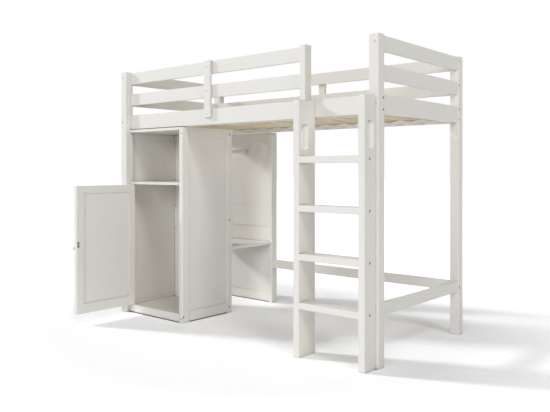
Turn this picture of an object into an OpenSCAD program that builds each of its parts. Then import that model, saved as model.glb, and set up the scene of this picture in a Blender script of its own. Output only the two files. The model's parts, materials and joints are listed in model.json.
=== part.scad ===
// Loft bed with a corner wardrobe, an open bay behind it and a fixed ladder.
// X runs along the bed, Y from the ladder side to the back, Z up.
// The origin is on the floor, at the middle of the box round the bed with its door open.

/* [Bed frame] */
// Clear length between the end posts, for the mattress
mattress_length = 2002; // [1800:1:2100]
// Clear width between the front and back posts, for the mattress
mattress_width = 902; // [800:1:1200]
// Width of a post along the bed
post = 56; // [48:1:70]
// Depth of a post across the bed
post_d = 62; // [48:1:75]
// Reach of the posts above the top guard planks
post_rise = 3; // [0:1:175]
// Thickness of rails, planks and boards
board_t = 18; // [16:1:24]
// Gap between the top of the wardrobe and the bed rails above it
unit_gap = 5; // [1:1:28]
// Height of a bed rail
rail_h = 102; // [90:1:110]
// Height of a guard plank
plank_h = 83; // [60:1:90]
// Open gap below each guard plank
plank_gap = 70; // [40:1:75]
// Setback of the end rails and planks from the outer face of the posts
end_setback = 8; // [2:1:14]
// Rounding of the long edges of rails and planks
board_round = 3; // [1:0.5:5]
// Rounding of the upright edges of posts and stiles
post_round = 4; // [1:0.5:6]

/* [Guard and battens] */
// Clear width between the guard end post and the right posts
entry_w = 409; // [405:1:565]
// Thickness of the guard end post
guard_post_t = 37; // [30:1:45]
// Width of a guard batten
batten_w = 54; // [40:1:70]
// Thickness of a guard batten
batten_t = 23; // [18:1:30]
// Distance of the front batten from the left posts
batten_front_x = 769; // [500:1:900]
// Distance of the back batten from the left posts
batten_back_x = 989; // [500:1:1100]
// Height of the lower batten ends above the underside of the bed rail
batten_up = 45; // [20:1:60]
// Reach of the battens above the top plank
batten_rise = 2; // [0:1:20]

/* [Low rails] */
// Height of the floor under the low rails
low_rail_z = 266; // [150:1:400]
// Height of a low rail
low_rail_h = 68; // [50:1:100]
// Height of the low back rail, whose top is level with the low right rail
low_back_h = 62; // [50:1:100]

/* [Slats] */
// Number of slats
slat_count = 13; // [10:1:16]
// Width of a slat
slat_w = 84; // [60:1:95]
// Thickness of a slat
slat_t = 16; // [12:1:22]
// Distance of the first and last slat from the end posts
slat_end = 77; // [10:1:120]
// Thickness of the ledgers that carry the slats
ledger_t = 22; // [18:1:30]
// Height of the ledgers' top above the underside of the bed rails
ledger_h = 28; // [20:1:40]
// Gap between a slat's end and the side rail
slat_gap = 2; // [1:0.5:6]

/* [Ladder] */
// Reach of the ladder above the underside of the bed rails
ladder_over = 93; // [73:1:98]
// Thickness of a ladder stile
ladder_stile_t = 37; // [30:1:45]
// Reach of the ladder in front of the posts
ladder_reach = 106; // [90:1:140]
// Gap between the right ladder stile and the outer face of the right posts
ladder_inset = 16; // [10:1:18]
// Radius at the top corners of a stile
ladder_round = 18; // [5:1:30]
// Number of treads
tread_count = 4; // [3:1:4]
// Height of the middle of the lowest tread
tread_first = 285; // [220:1:300]
// Distance of the middle of the top tread from the top of the ladder
tread_top = 330; // [315:1:465]
// Thickness of a tread
tread_t = 36; // [28:1:45]
// Depth of a tread
tread_d = 100; // [80:1:104]
// Width of the grip slot in each stile
grip_w = 56; // [35:1:60]
// Height of the grip slot
grip_h = 140; // [100:1:150]
// Distance of the grip slot's underside from the top of the ladder
grip_drop = 273; // [260:1:290]
// Distance of the grip slot from the front edge of the stile
grip_front = 27; // [22:1:40]
// Corner radius of the grip slot
grip_round = 14; // [4:1:17]

/* [Wardrobe] */
// Height of the wardrobe and of the bay behind it
unit_h = 1312; // [1200:1:1316]
// Distance of the wardrobe's right side from the left posts
unit_w = 560; // [450:1:700]
// Setback of the wardrobe's front from the front of the posts
unit_setback = 30; // [20:1:36]
// Distance of the wardrobe's back from the front of the posts
unit_depth = 517; // [420:1:600]
// Thickness of a wardrobe stile, along the bed
stile_t = 34; // [28:1:45]
// Depth of the front stile
front_stile_d = 65; // [50:1:80]
// Depth of a rear stile
rear_stile_d = 51; // [45:1:56]
// Thickness of the framed walls
wall_t = 20; // [18:1:28]
// Height of the top rails
wall_top_h = 66; // [50:1:90]
// Height of the bottom rails
wall_bottom_h = 66; // [50:1:90]
// Gap between the floor and the bottom rails
wall_foot = 8; // [4:1:20]
// Height of the floor under the middle rails
mid_rail_z = 586; // [500:1:640]
// Height of the middle rails
mid_rail_h = 160; // [100:1:200]
// Thickness of the framed panels
panel_t = 9; // [6:1:12]
// Depth of a panel's edge in its groove
panel_tongue = 7; // [4:1:8]
// Height of the top face of the wardrobe's floor board
floor_board_z = 48; // [40:1:52]
// Height of the base rail's top edge
base_top = 58; // [54:1:70]
// Height of the underside of the fixed shelf
fixed_shelf_z = 922; // [800:1:1000]
// Height of the underside of the bay's shelf
bay_shelf_z = 450; // [300:1:520]
// Reach of the bay's stile to the right of the wardrobe's side
bay_stile_out = 5; // [0:1:20]
// Distance of the bay shelf's right edge from the right side
bay_shelf_inset = 4; // [0:1:20]
// Setback of the bay's back wall from the inner faces of the back posts
bay_wall_setback = 12; // [0:1:30]
// Side of the square cleats under the bay's shelf
cleat = 20; // [16:1:30]
// Distance of the cleats' ends from the wardrobe's right side
cleat_inset = 25; // [15:1:40]

/* [Clothes rod] */
// Radius of the clothes rod
rod_r = 12.5; // [9:0.5:16]
// Distance of the rod's axis from the top of the bay
rod_drop = 147; // [122:1:312]
// Distance of the rod from the left posts
rod_x = 290; // [150:1:400]
// Depth of the rod in its sockets
rod_seat = 12; // [8:1:16]
// Wall of a rod socket
socket_wall = 4; // [3:0.5:6]
// Width of a socket's flange round the cup
socket_flange = 9; // [6:1:12]
// Thickness of a socket's flange and floor
socket_floor = 3; // [2:0.5:5]

/* [Door] */
// Width of the fixed stile that carries the hinges
hinge_stile_w = 36; // [30:1:60]
// Thickness of the door's frame
door_t = 34; // [24:1:40]
// Reach of the closed door in front of the wardrobe's stiles
door_proud = 6; // [0:1:12]
// Recess of the door's panel from the door's inner face
door_panel_in = 7.5; // [5:0.5:12]
// Width of a door stile
door_stile_w = 52; // [40:1:70]
// Height of the door's top rail
door_top_h = 51; // [40:1:80]
// Height of the door's bottom rail
door_bottom_h = 64; // [40:1:90]
// Gap beside and above the door
door_gap = 3; // [2.8:0.1:5]
// Gap below the door
door_foot_gap = 9; // [2.8:0.1:12]
// Radius of the knob
knob_r = 15; // [10:1:20]
// Reach of the knob from the door
knob_reach = 24; // [18:1:30]
// Thickness of the knob's rim
knob_crown = 7; // [5:0.5:8]
// Radius of the knob's neck
knob_neck_r = 7; // [5:0.5:9]
// Height of the knob's axis
knob_z = 498; // [400:1:600]
// Height of the catch
catch_z = 529; // [450:1:620]
// Height of the catch's steel plate
strike_h = 38; // [20:1:50]
// Width of the catch's steel plate
strike_w = 13; // [10:1:20]
// Thickness of the catch's steel plate
strike_t = 1.2; // [0.8:0.1:2]
// Reach of the magnet block from the stile
catch_reach = 20; // [16:1:30]
// Depth of the magnet block
catch_d = 14; // [10:1:20]

/* [Hinges] */
// Length of a hinge
hinge_h = 64; // [50:1:90]
// Distance of a hinge from the door's end
hinge_inset = 90; // [60:1:150]
// Radius of a hinge knuckle
knuckle_r = 4; // [3.5:0.1:5]
// Radius of a hinge pin
pin_r = 2; // [1.5:0.1:2.4]
// Thickness of a hinge leaf
leaf_t = 1.2; // [1:0.05:1.2]
// Reach of a hinge leaf over the wood
leaf_reach = 17; // [12:1:18]
// Gap between two knuckles
knuckle_gap = 0.4; // [0.3:0.1:0.8]

/* [Bolts] */
// Radius of a bolt head
head_r = 7.5; // [6:0.5:9]
// Thickness of a bolt head
head_t = 2.5; // [2:0.5:4]
// Radius of a bolt's shank
shank_r = 3; // [2.5:0.5:4]
// Depth of a bolt head below the wood
head_sink = 0.6; // [0.2:0.1:1.5]
// Width across the corners of a bolt head's hexagon socket
hex_w = 5.6; // [4:0.2:6]
// Reach of a frame bolt into the wood behind the joint
bolt_reach = 52; // [45:1:60]
// Distance of a cross nut from the joint
nut_back = 40; // [34:1:44]
// Radius of a cross nut
nut_r = 5; // [4.5:0.5:6]
// Length of a cross nut
nut_len = 14; // [12:0.5:14]
// Distance of a rail bolt from the rail's edges
rail_bolt_edge = 20; // [18:1:24]
// Height of the left ladder bolt above the underside of the bed rail
ladder_bolt_up = 61; // [40:1:66]
// Distance of the right ladder bolt below the underside of the bed rail
ladder_bolt_down = 41; // [30:1:60]
// Depth of a batten's bolts in the boards behind it
batten_bolt_in = 13.5; // [10:0.5:15]
// Height of a plank's side bolt above the plank's underside
plank_bolt_side = 60; // [56:1:64]
// Height of a plank's end bolt above the plank's underside
plank_bolt_end = 44; // [24:1:46]
// Offset of the frame bolts from the middle of a board, towards the posts' middle
bolt_offset = 2; // [0:0.5:2]
// Height of the bolts through a stile's front or back above the underside of the wall rail
wall_bolt_up = 20; // [16:1:24]
// Height of the bolts through a stile's side above the underside of the wall rail
side_bolt_up = 32; // [30:1:40]
// Height of the base rail's bolt above the underside of the rail
base_bolt_up = 31; // [30:1:40]
// Height of the bay stile's bolt above the underside of the top rail
bay_bolt_up = 52; // [40:1:56]
// Distance of the side walls' bolts from the outer face of the wardrobe's right side
wall_bolt_in = 12; // [11:0.5:14]

/* [Fits] */
// Clearance round a bolt, a nut or a rod in its hole
hole_fit = 0.2; // [0.1:0.05:0.4]
// Clearance of a panel in its grooves
panel_fit = 0.3; // [0.1:0.05:0.5]
// Radial clearance of a hinge pin in its knuckles
pin_fit = 0.05; // [0.02:0.01:0.09]
// Gap between pieces that pass each other without touching
running_gap = 0.5; // [0.3:0.1:1]

/* [Hidden] */
$fn = 48;
eps = 1;

paint = "#e6e2d8";
pine = "#d9bd92";
steel = "#8f8f8c";
dark = "#3a3a3a";

bed_length = mattress_length + 2 * post;
bed_width = mattress_width + 2 * post_d;
axis_out = knuckle_r + running_gap;
door_z0 = base_top + door_foot_gap;
door_z1 = fixed_shelf_z - door_gap;

// Distances along the bed from the left face of the posts
hinge_x = post + hinge_stile_w;
stile_x = post + unit_w - stile_t;
door_w = stile_x - hinge_x - 2 * door_gap;
door_reach = door_w + door_gap / 2 + axis_out - unit_setback + door_proud;

// Planes of the frame, measured from the origin
left = -bed_length / 2;
right = bed_length / 2;
front = (door_reach - bed_width) / 2;
back = front + bed_width;
post_in_left = left + post;
post_in_right = right - post;
post_in_front = front + post_d;
post_in_back = back - post_d;

// Heights of the bed rails, the guard planks and the posts
rail_z = unit_h + unit_gap;
mid_plank_z = rail_z + rail_h + plank_gap;
top_plank_z = mid_plank_z + plank_h + plank_gap;
plank_top = top_plank_z + plank_h;
batten_z0 = rail_z + batten_up;
batten_z1 = plank_top + batten_rise;
post_height = plank_top + post_rise;

// Planes of the boards: inner faces flush with the posts, ends set back
board_front = post_in_front - board_t;
board_back = post_in_back;
end_left = left + end_setback;
end_right = right - end_setback - board_t;
guard_post_x = post_in_right - entry_w - guard_post_t;
low_back_z = low_rail_z + low_rail_h - low_back_h;

// Slats
ledger_z = unit_h + running_gap;
ledger_top = rail_z + ledger_h;
slat_x0 = post_in_left + slat_end;
slat_pitch = (mattress_length - 2 * slat_end - slat_w) / (slat_count - 1);

// Ladder
ladder_right_x = right - ladder_inset - ladder_stile_t;
ladder_left_x = guard_post_x + guard_post_t;
ladder_front = front - ladder_reach;
tread_x0 = ladder_left_x + ladder_stile_t;
tread_y = ladder_front + tread_d / 2;
ladder_h = rail_z + ladder_over;
grip_z = ladder_h - grip_drop;
tread_rise = (ladder_h - tread_top - tread_first) / (tread_count - 1);
function tread_z(i) = tread_first + i * tread_rise;

// Wardrobe and bay
unit_right = post_in_left + unit_w;
unit_front = front + unit_setback;
unit_back = front + unit_depth;
stile_in = unit_right - stile_t;
wall_in = unit_right - wall_t;
left_wall_out = left + end_setback;
left_wall_in = left_wall_out + stile_t;
left_rail_out = left_wall_in - wall_t;
rear_stile_y = unit_back - rear_stile_d;
front_stile_back = unit_front + front_stile_d;
back_wall_y = unit_back - (rear_stile_d + wall_t) / 2;
bay_wall_y = post_in_back + bay_wall_setback;
top_rail_z = unit_h - wall_top_h;
bottom_rail_top = wall_foot + wall_bottom_h;
mid_rail_top = mid_rail_z + mid_rail_h;
side_panel_in = (wall_t - panel_t) / 2;
bay_shelf_right = unit_right - bay_shelf_inset;
rod_at = post_in_left + rod_x;
rod_z = unit_h - rod_drop;
bay_stile_in = stile_in + bay_stile_out;
bay_stile_right = unit_right + bay_stile_out;

// Door axis: in front of the door, at the middle of the gap at the hinge stile
door_front = unit_front - door_proud;
axis_x = left + hinge_x + door_gap / 2;
axis_y = door_front - axis_out;
door_open = 90;
door_x0 = left + hinge_x + door_gap;
door_x1 = door_x0 + door_w;
door_back = door_front + door_t;
knuckles = 5;
knuckle_pitch = hinge_h / knuckles;
hinge_levels = [door_z0 + hinge_inset, door_z1 - hinge_inset - hinge_h];

// A bolt is [point of its head on the wood, direction, length, nut direction].
// The nut direction points to the mouth of the nut's hole, or is "" without a nut.
side_bolt = post + bolt_reach;
end_bolt = post_d + bolt_reach;
side_bolt_front = board_front + board_t / 2 - bolt_offset;
side_bolt_back = board_back + board_t / 2 + bolt_offset;
end_bolt_left = end_left + board_t / 2 + bolt_offset;
end_bolt_right = end_right + board_t / 2 - bolt_offset;
rail_levels = [rail_z + rail_bolt_edge, rail_z + rail_h - rail_bolt_edge];
plank_side_levels = [mid_plank_z + plank_bolt_side, top_plank_z + plank_bolt_side];
plank_end_levels = [rail_z + rail_h / 2, top_plank_z + plank_bolt_end];
low_level = low_back_z + rail_bolt_edge;
low_end_level = low_rail_z + low_rail_h / 2 + rail_bolt_edge - bolt_offset;

bolts_front_left = [
  for (z = concat(rail_levels, plank_side_levels)) [[left, side_bolt_front, z], "+x", side_bolt, "+y"]
];
bolts_front_right = [
  for (z = rail_levels) [[right, side_bolt_front, z], "-x", side_bolt, "+y"]
];
bolts_back_left = [
  for (z = concat(rail_levels, plank_side_levels)) [[left, side_bolt_back, z], "+x", side_bolt, "-y"]
];
bolts_back_right = [
  for (z = concat([low_level], rail_levels, plank_side_levels))
    [[right, side_bolt_back, z], "-x", side_bolt, "-y"]
];
bolts_left_front = [
  for (z = plank_end_levels) [[end_bolt_left, front, z], "+y", end_bolt, "+x"]
];
bolts_left_back = [
  for (z = plank_end_levels) [[end_bolt_left, back, z], "-y", end_bolt, "+x"]
];
bolts_right_front = [
  for (z = concat([low_end_level], plank_end_levels)) [[end_bolt_right, front, z], "+y", end_bolt, "-x"]
];
bolts_right_back = [
  for (z = concat([low_end_level], plank_end_levels)) [[end_bolt_right, back, z], "-y", end_bolt, "-x"]
];

batten_levels = [
  batten_z0 + rail_bolt_edge, mid_plank_z + plank_h / 2, top_plank_z + plank_h / 2
];
batten_bolt = batten_t + batten_bolt_in;
batten_front_mid = post_in_left + batten_front_x + batten_w / 2;
batten_back_mid = post_in_left + batten_back_x + batten_w / 2;
bolts_front_batten = [
  for (z = batten_levels) [[batten_front_mid, board_front - batten_t, z], "+y", batten_bolt, ""]
];
bolts_back_batten = [
  for (z = batten_levels) [[batten_back_mid, board_back + board_t + batten_t, z], "-y", batten_bolt, ""]
];
guard_bolt = guard_post_t + bolt_reach;
bolts_guard_post = [
  for (z = plank_side_levels)
    [[guard_post_x + guard_post_t, side_bolt_front, z], "-x", guard_bolt, "+y"]
];

tread_bolt = ladder_stile_t + bolt_reach;
bolts_treads_right = [
  for (i = [0:tread_count - 1])
    [[ladder_right_x + ladder_stile_t, tread_y, tread_z(i)], "-x", tread_bolt, "-z"]
];
bolts_treads_left = [
  for (i = [0:tread_count - 1]) [[ladder_left_x, tread_y, tread_z(i)], "+x", tread_bolt, "-z"]
];
ladder_bolt_in = ladder_stile_t / 2;
bolts_ladder = [
  [[ladder_left_x + ladder_bolt_in, post_in_front, rail_z + ladder_bolt_up], "-y",
    board_t + bolt_reach, ""],
  [[ladder_right_x + ladder_bolt_in, post_in_front, rail_z - ladder_bolt_down], "-y",
    end_bolt, ""]
];

unit_bolt = stile_t + bolt_reach;
front_levels = [wall_foot + wall_bolt_up, top_rail_z + wall_bolt_up];
side_levels = [wall_foot + side_bolt_up, mid_rail_z + mid_rail_h / 2, top_rail_z + side_bolt_up];
wall_bolt_x = unit_right - wall_bolt_in;
left_wall_mid = left_rail_out + wall_t / 2;
back_wall_mid = back_wall_y + wall_t / 2;
bay_wall_mid = bay_wall_y + wall_t / 2;
bolts_side_front = [
  for (z = front_levels) [[wall_bolt_x, unit_front, z], "+y", front_stile_d + bolt_reach, ""]
];
bolts_side_back = [
  for (z = front_levels) [[wall_bolt_x, unit_back, z], "-y", rear_stile_d + bolt_reach, ""]
];
bolts_base = [
  [[unit_right, unit_front + board_t / 2, wall_foot + base_bolt_up], "-x", unit_bolt, ""]
];
bolts_back_wall = [
  for (z = side_levels) [[unit_right, back_wall_mid, z], "-x", unit_bolt, ""]
];
bolts_back_wall_left = [
  for (z = side_levels) [[left_wall_out, back_wall_mid, z], "+x", unit_bolt, ""]
];
bolts_left_wall = [
  [[left_wall_mid, front, front_levels[0]], "+y", end_bolt, ""]
];
bolts_left_wall_back = [
  for (z = front_levels) [[left_wall_mid, unit_back, z], "-y", rear_stile_d + bolt_reach, ""]
];
bolts_bay = [
  [[bay_stile_right, bay_wall_mid, top_rail_z + bay_bolt_up], "-x", unit_bolt, ""]
];
bolts_bay_left = [
  for (z = side_levels) [[left, bay_wall_mid, z], "+x", side_bolt, ""]
];

nut_bolts = concat(
  bolts_front_left, bolts_front_right, bolts_back_left, bolts_back_right,
  bolts_left_front, bolts_left_back, bolts_right_front, bolts_right_back,
  bolts_guard_post, bolts_treads_left, bolts_treads_right
);
plain_bolts = concat(
  bolts_front_batten, bolts_back_batten, bolts_ladder, bolts_side_front, bolts_side_back,
  bolts_base, bolts_back_wall, bolts_back_wall_left, bolts_left_wall, bolts_left_wall_back,
  bolts_bay, bolts_bay_left
);

function turn(d) =
  d == "+x" ? [0, 90, 0] :
  d == "-x" ? [0, -90, 0] :
  d == "+y" ? [-90, 0, 0] :
  d == "-y" ? [90, 0, 0] :
  d == "-z" ? [180, 0, 0] : [0, 0, 0];

function step(d) =
  d == "+x" ? [1, 0, 0] :
  d == "-x" ? [-1, 0, 0] :
  d == "+y" ? [0, 1, 0] :
  d == "-y" ? [0, -1, 0] :
  d == "-z" ? [0, 0, -1] : [0, 0, 1];

// Place of a bolt's cross nut on the bolt's axis
function nut_place(b) = b[0] + step(b[1]) * (b[2] - bolt_reach + nut_back);

// Plain block between two corners
module block(a, b) {
  translate(a) cube(b - a);
}

// Rectangle from the origin with rounded corners
module round_rect(w, h, r) {
  difference() {
    square([w, h]);
    for (x = [0, w], y = [0, h])
      translate([x, y]) difference() {
        square(2 * r, center = true);
        translate([x == 0 ? r : -r, y == 0 ? r : -r]) circle(r);
      }
  }
}

// Upright bar with rounded edges
module upright(a, b, r = post_round) {
  translate(a) linear_extrude(b[2] - a[2]) round_rect(b[0] - a[0], b[1] - a[1], r);
}

// Bar along the bed with rounded edges
module bar_x(a, b, r = board_round) {
  translate(a) rotate([90, 0, 90]) linear_extrude(b[0] - a[0])
    round_rect(b[1] - a[1], b[2] - a[2], r);
}

// Bar across the bed with rounded edges
module bar_y(a, b, r = board_round) {
  translate([a[0], b[1], a[2]]) rotate([90, 0, 0]) linear_extrude(b[1] - a[1])
    round_rect(b[0] - a[0], b[2] - a[2], r);
}

// Bolt with a round head and a hexagon socket
module bolt(b) {
  translate(b[0]) rotate(turn(b[1])) difference() {
    union() {
      translate([0, 0, head_sink]) cylinder(r = head_r, h = head_t);
      translate([0, 0, head_sink + head_t]) cylinder(r = shank_r, h = b[2] - head_sink - head_t);
    }
    translate([0, 0, head_sink - eps]) cylinder(d = hex_w, h = eps + head_t - running_gap, $fn = 6);
  }
}

// Hole and counterbore for each bolt in the list
module bolt_holes(list) {
  for (b = list)
    translate(b[0]) rotate(turn(b[1])) {
      translate([0, 0, -eps]) cylinder(r = head_r + hole_fit, h = eps + head_sink + head_t);
      cylinder(r = shank_r + hole_fit, h = b[2] + hole_fit);
    }
}

// Blind hole for the cross nut of each bolt in the list, open towards its mouth
module nut_holes(list) {
  for (b = list)
    translate(nut_place(b)) rotate(turn(b[3]))
      translate([0, 0, -nut_r]) cylinder(r = nut_r + hole_fit, h = post);
}

// Cross nut with its threaded hole, one end just past the bolt
module cross_nut(b) {
  difference() {
    translate(nut_place(b)) rotate(turn(b[3]))
      translate([0, 0, -nut_r + hole_fit]) cylinder(r = nut_r, h = nut_len);
    translate(b[0]) rotate(turn(b[1])) cylinder(r = shank_r + pin_fit, h = b[2] + post);
  }
}

module post_front_left() {
  color(paint) difference() {
    upright([left, front, 0], [post_in_left, post_in_front, post_height]);
    bolt_holes(concat(bolts_front_left, bolts_left_front, bolts_left_wall));
  }
}

module post_front_right() {
  color(paint) difference() {
    upright([post_in_right, front, 0], [right, post_in_front, post_height]);
    bolt_holes(concat(bolts_front_right, bolts_right_front, [bolts_ladder[1]]));
  }
}

module post_back_left() {
  color(paint) difference() {
    upright([left, post_in_back, 0], [post_in_left, back, post_height]);
    bolt_holes(concat(bolts_back_left, bolts_left_back, bolts_bay_left));
  }
}

module post_back_right() {
  color(paint) difference() {
    upright([post_in_right, post_in_back, 0], [right, back, post_height]);
    bolt_holes(concat(bolts_back_right, bolts_right_back));
  }
}

// Board along the bed in the front plane
module front_board(x0, x1, z, h, bolts) {
  color(paint) difference() {
    bar_x([x0, board_front, z], [x1, post_in_front, z + h]);
    bolt_holes(bolts);
    nut_holes([for (b = bolts) if (b[3] != "") b]);
  }
}

// Board along the bed in the back plane
module back_board(x0, x1, z, h, bolts) {
  color(paint) difference() {
    bar_x([x0, board_back, z], [x1, board_back + board_t, z + h]);
    bolt_holes(bolts);
    nut_holes([for (b = bolts) if (b[3] != "") b]);
  }
}

// Board across the bed between the posts of one end
module end_board(x, z, h, bolts) {
  color(paint) difference() {
    bar_y([x, post_in_front, z], [x + board_t, post_in_back, z + h]);
    bolt_holes(bolts);
    nut_holes(bolts);
  }
}

module side_rail_front() {
  front_board(post_in_left, post_in_right, rail_z, rail_h,
    concat(bolts_front_left, bolts_front_right, bolts_front_batten, [bolts_ladder[0]]));
}

module side_rail_back() {
  back_board(post_in_left, post_in_right, rail_z, rail_h,
    concat(bolts_back_left, bolts_back_right, bolts_back_batten));
}

module end_rail_left() {
  end_board(end_left, rail_z, rail_h, concat(bolts_left_front, bolts_left_back));
}

module end_rail_right() {
  end_board(end_right, rail_z, rail_h, concat(bolts_right_front, bolts_right_back));
}

module guard_front_top() {
  front_board(post_in_left, guard_post_x, top_plank_z, plank_h,
    concat(bolts_front_left, bolts_guard_post, bolts_front_batten));
}

module guard_front_mid() {
  front_board(post_in_left, guard_post_x, mid_plank_z, plank_h,
    concat(bolts_front_left, bolts_guard_post, bolts_front_batten));
}

module guard_back_top() {
  back_board(post_in_left, post_in_right, top_plank_z, plank_h,
    concat(bolts_back_left, bolts_back_right, bolts_back_batten));
}

module guard_back_mid() {
  back_board(post_in_left, post_in_right, mid_plank_z, plank_h,
    concat(bolts_back_left, bolts_back_right, bolts_back_batten));
}

module guard_left_top() {
  end_board(end_left, top_plank_z, plank_h, concat(bolts_left_front, bolts_left_back));
}

module guard_left_mid() {
  end_board(end_left, mid_plank_z, plank_h, []);
}

module guard_right_top() {
  end_board(end_right, top_plank_z, plank_h, concat(bolts_right_front, bolts_right_back));
}

module guard_right_mid() {
  end_board(end_right, mid_plank_z, plank_h, []);
}

module guard_front_batten() {
  x = batten_front_mid - batten_w / 2;
  color(paint) difference() {
    upright([x, board_front - batten_t, batten_z0], [x + batten_w, board_front, batten_z1]);
    bolt_holes(bolts_front_batten);
  }
}

module guard_back_batten() {
  x = batten_back_mid - batten_w / 2;
  y = board_back + board_t;
  color(paint) difference() {
    upright([x, y, batten_z0], [x + batten_w, y + batten_t, batten_z1]);
    bolt_holes(bolts_back_batten);
  }
}

// Upright at the end of the front guard, lapped over the front of the bed rail
module guard_end_post() {
  x1 = guard_post_x + guard_post_t;
  color(paint) difference() {
    upright([guard_post_x, front, rail_z], [x1, post_in_front, batten_z1]);
    block([guard_post_x - eps, board_front, rail_z - eps],
      [x1 + eps, post_in_front + eps, rail_z + rail_h]);
    bolt_holes(bolts_guard_post);
  }
}

module low_rail_back() {
  back_board(bay_stile_right, post_in_right, low_back_z, low_back_h, bolts_back_right);
}

module low_rail_right() {
  end_board(end_right, low_rail_z, low_rail_h, concat(bolts_right_front, bolts_right_back));
}

module slat_ledgers() {
  color(paint) {
    bar_x([post_in_left, post_in_front, ledger_z], [post_in_right, post_in_front + ledger_t, ledger_top]);
    bar_x([post_in_left, post_in_back - ledger_t, ledger_z], [post_in_right, post_in_back, ledger_top]);
  }
}

module slats() {
  color(pine)
    for (i = [0:slat_count - 1])
      translate([i * slat_pitch, 0, 0])
        bar_y([slat_x0, post_in_front + slat_gap, ledger_top],
          [slat_x0 + slat_w, post_in_back - slat_gap, ledger_top + slat_t]);
}

// Ladder stile from the front of the ladder back to y1, with a grip slot
module ladder_stile(x, y1, bolts) {
  depth = y1 - ladder_front;
  color(paint) difference() {
    translate([x, ladder_front, 0]) rotate([90, 0, 90]) linear_extrude(ladder_stile_t)
      difference() {
        square([depth, ladder_h]);
        for (y = [0, depth])
          translate([y, ladder_h]) difference() {
            square(2 * ladder_round, center = true);
            translate([y == 0 ? ladder_round : -ladder_round, -ladder_round]) circle(ladder_round);
          }
        translate([grip_front, grip_z]) round_rect(grip_w, grip_h, grip_round);
      }
    bolt_holes(bolts);
  }
}

module ladder_stile_left() {
  ladder_stile(ladder_left_x, board_front, concat(bolts_treads_left, [bolts_ladder[0]]));
}

module ladder_stile_right() {
  ladder_stile(ladder_right_x, front, concat(bolts_treads_right, [bolts_ladder[1]]));
}

module ladder_treads() {
  color(paint) difference() {
    for (i = [0:tread_count - 1])
      bar_x([tread_x0, ladder_front, tread_z(i) - tread_t / 2],
        [ladder_right_x, ladder_front + tread_d, tread_z(i) + tread_t / 2]);
    bolt_holes(concat(bolts_treads_left, bolts_treads_right));
    nut_holes(concat(bolts_treads_left, bolts_treads_right));
  }
}

// Groove for a panel's edge: the panel's own space, widened by its clearance
module panel_groove(a, b) {
  fit = [panel_fit, panel_fit, 0];
  block(a - fit, b + fit);
}

// Corners of the framed panels, tongues included
side_panel_box = [
  [wall_in + side_panel_in, front_stile_back - panel_tongue + panel_fit, bottom_rail_top - panel_tongue],
  [wall_in + side_panel_in + panel_t, rear_stile_y + panel_tongue - panel_fit, top_rail_z + panel_tongue]
];
left_panel_box = [
  [left_rail_out + side_panel_in, post_in_front + panel_fit, bottom_rail_top - panel_tongue],
  [left_rail_out + side_panel_in + panel_t, rear_stile_y + panel_tongue - panel_fit,
    top_rail_z + panel_tongue]
];
function back_panel_box(x0, x1, y, z0, z1) = [
  [x0 - panel_tongue + panel_fit, y + side_panel_in, z0 - panel_tongue],
  [x1 + panel_tongue - panel_fit, y + side_panel_in + panel_t, z1 + panel_tongue]
];
back_panel_low = back_panel_box(left_wall_in, stile_in, back_wall_y, bottom_rail_top, mid_rail_z);
back_panel_high = back_panel_box(left_wall_in, stile_in, back_wall_y, mid_rail_top, top_rail_z);
bay_panel_x = post_in_left + panel_tongue;
bay_panel_low = back_panel_box(bay_panel_x, bay_stile_in, bay_wall_y, bottom_rail_top, mid_rail_z);
bay_panel_high = back_panel_box(bay_panel_x, bay_stile_in, bay_wall_y, mid_rail_top, top_rail_z);

module wardrobe_stile_front() {
  color(paint) difference() {
    upright([stile_in, unit_front, 0], [unit_right, front_stile_back, unit_h]);
    panel_groove(side_panel_box[0], side_panel_box[1]);
    bolt_holes(concat(bolts_side_front, bolts_base));
  }
}

module wardrobe_stile_rear() {
  color(paint) difference() {
    upright([stile_in, rear_stile_y, 0], [unit_right, unit_back, unit_h]);
    panel_groove(side_panel_box[0], side_panel_box[1]);
    panel_groove(back_panel_low[0], back_panel_low[1]);
    panel_groove(back_panel_high[0], back_panel_high[1]);
    bolt_holes(concat(bolts_side_back, bolts_back_wall));
  }
}

module wardrobe_stile_left() {
  color(paint) difference() {
    upright([left_wall_out, rear_stile_y, 0], [left_wall_in, unit_back, unit_h]);
    panel_groove(left_panel_box[0], left_panel_box[1]);
    panel_groove(back_panel_low[0], back_panel_low[1]);
    panel_groove(back_panel_high[0], back_panel_high[1]);
    bolt_holes(concat(bolts_back_wall_left, bolts_left_wall_back));
  }
}

module wardrobe_side_rails() {
  color(paint) difference() {
    union() {
      block([wall_in, front_stile_back, wall_foot], [unit_right, rear_stile_y, bottom_rail_top]);
      block([wall_in, front_stile_back, top_rail_z], [unit_right, rear_stile_y, unit_h]);
    }
    panel_groove(side_panel_box[0], side_panel_box[1]);
    bolt_holes(concat(bolts_side_front, bolts_side_back));
  }
}

module wardrobe_side_panel() {
  color(paint) block(side_panel_box[0], side_panel_box[1]);
}

module wardrobe_left_rails() {
  color(paint) difference() {
    union() {
      block([left_rail_out, post_in_front, wall_foot], [left_wall_in, rear_stile_y, bottom_rail_top]);
      block([left_rail_out, post_in_front, top_rail_z], [left_wall_in, rear_stile_y, unit_h]);
    }
    panel_groove(left_panel_box[0], left_panel_box[1]);
    bolt_holes(concat(bolts_left_wall, bolts_left_wall_back));
  }
}

module wardrobe_left_panel() {
  color(paint) block(left_panel_box[0], left_panel_box[1]);
}

// Bottom, middle and top rail of a wall across the unit
module back_rails(x0, x1, y, low, high, bolts) {
  color(paint) difference() {
    union() {
      block([x0, y, wall_foot], [x1, y + wall_t, bottom_rail_top]);
      block([x0, y, mid_rail_z], [x1, y + wall_t, mid_rail_top]);
      block([x0, y, top_rail_z], [x1, y + wall_t, unit_h]);
    }
    panel_groove(low[0], low[1]);
    panel_groove(high[0], high[1]);
    bolt_holes(bolts);
  }
}

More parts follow.
